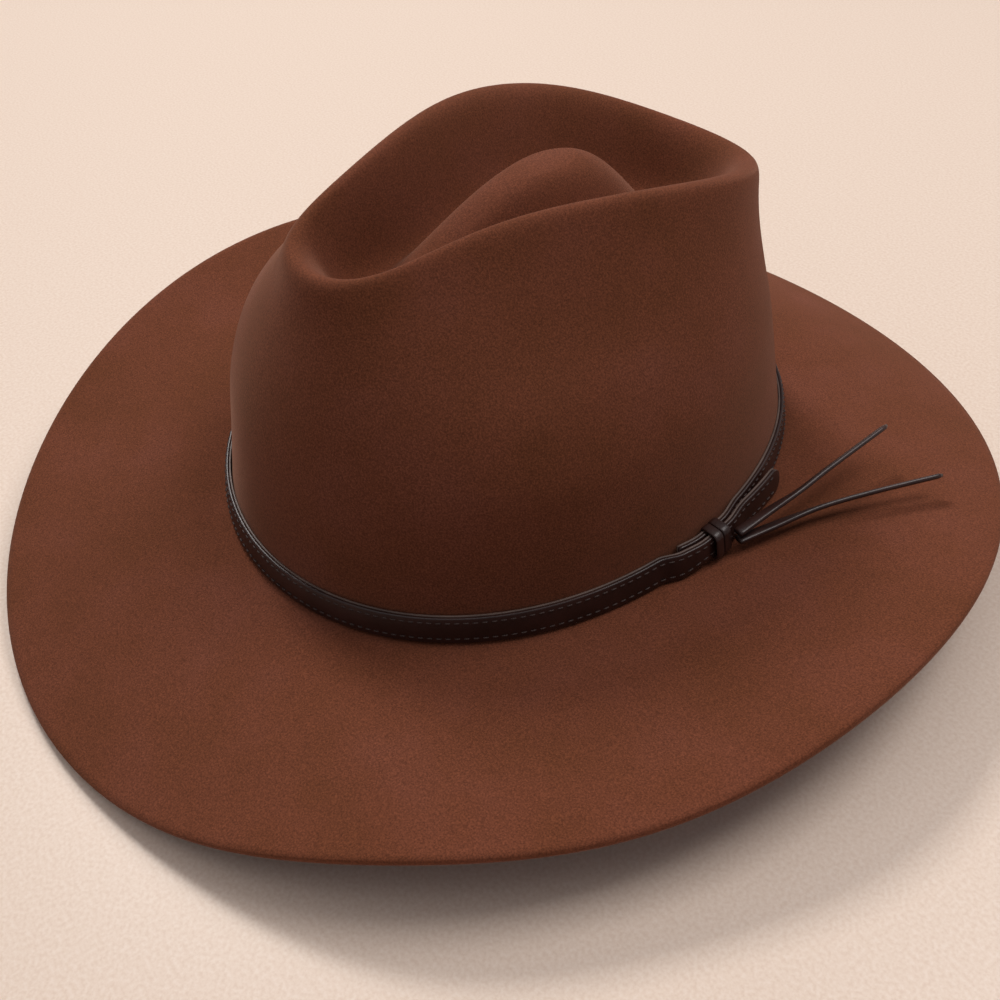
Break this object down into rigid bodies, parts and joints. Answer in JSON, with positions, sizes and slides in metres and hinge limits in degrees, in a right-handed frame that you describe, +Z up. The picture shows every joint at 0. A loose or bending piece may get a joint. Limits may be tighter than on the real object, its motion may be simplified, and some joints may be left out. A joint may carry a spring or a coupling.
{
  "type": "cowboy hat",
  "caption": "Wide-brimmed felt hat with a teardrop crease, leather sweatband, satin liner and a tied leather hatband that lifts off over the crown",
  "frame": {"origin": "centre of the brim in plan, on the surface the brim rests on", "axes": "+X the wearer's left, -Y the front of the hat, +Z up"},
  "size_m": [0.333, 0.3584, 0.1305],
  "materials": {
    "felt": "fine brushed nap",
    "sweat_leather": "smooth",
    "strap_leather": "waxed",
    "satin": "satin sheen",
    "tape": "woven",
    "thread": "matt",
    "reed": "matt",
    "ribbon": "grosgrain",
    "label": "woven"
  },
  "bodies": {
    "hat": {"felt_body": "felt", "sweatband": "sweat_leather", "sweatband_seam_thread": "thread", "sweatband_reed": "reed", "welt_tape": "tape", "welt_stitching": "thread", "sweatband_bow": "ribbon", "sweatband_bow_knot": "ribbon", "size_label": "label", "liner_side": "satin", "liner_tip": "satin", "liner_piping": "satin"},
    "hatband": {"hatband_strap": "strap_leather", "hatband_lining": "strap_leather", "hatband_upper_stitching": "thread", "hatband_lower_stitching": "thread", "knot_wrap": "strap_leather"},
    "tail_upper": {"tail_upper": "strap_leather"},
    "tail_lower": {"tail_lower": "strap_leather"}
  },
  "joints": [
    {"name": "hatband_lift", "type": "slide", "parent": "hat", "child": "hatband", "axis": [0, 0, 1], "range_m": [0, 0.13]},
    {"name": "tail_upper_swing", "type": "hinge", "parent": "hatband", "child": "tail_upper", "pos_m": [0.0951, 0.0207, 0.0328], "axis": [0, 0, -1], "range_deg": [-5, 30], "stiffness_Nm_per_rad": 0.01},
    {"name": "tail_lower_swing", "type": "hinge", "parent": "hatband", "child": "tail_lower", "pos_m": [0.0956, 0.0208, 0.0298], "axis": [0, 0, -1], "range_deg": [-12, 10], "stiffness_Nm_per_rad": 0.01}
  ]
}
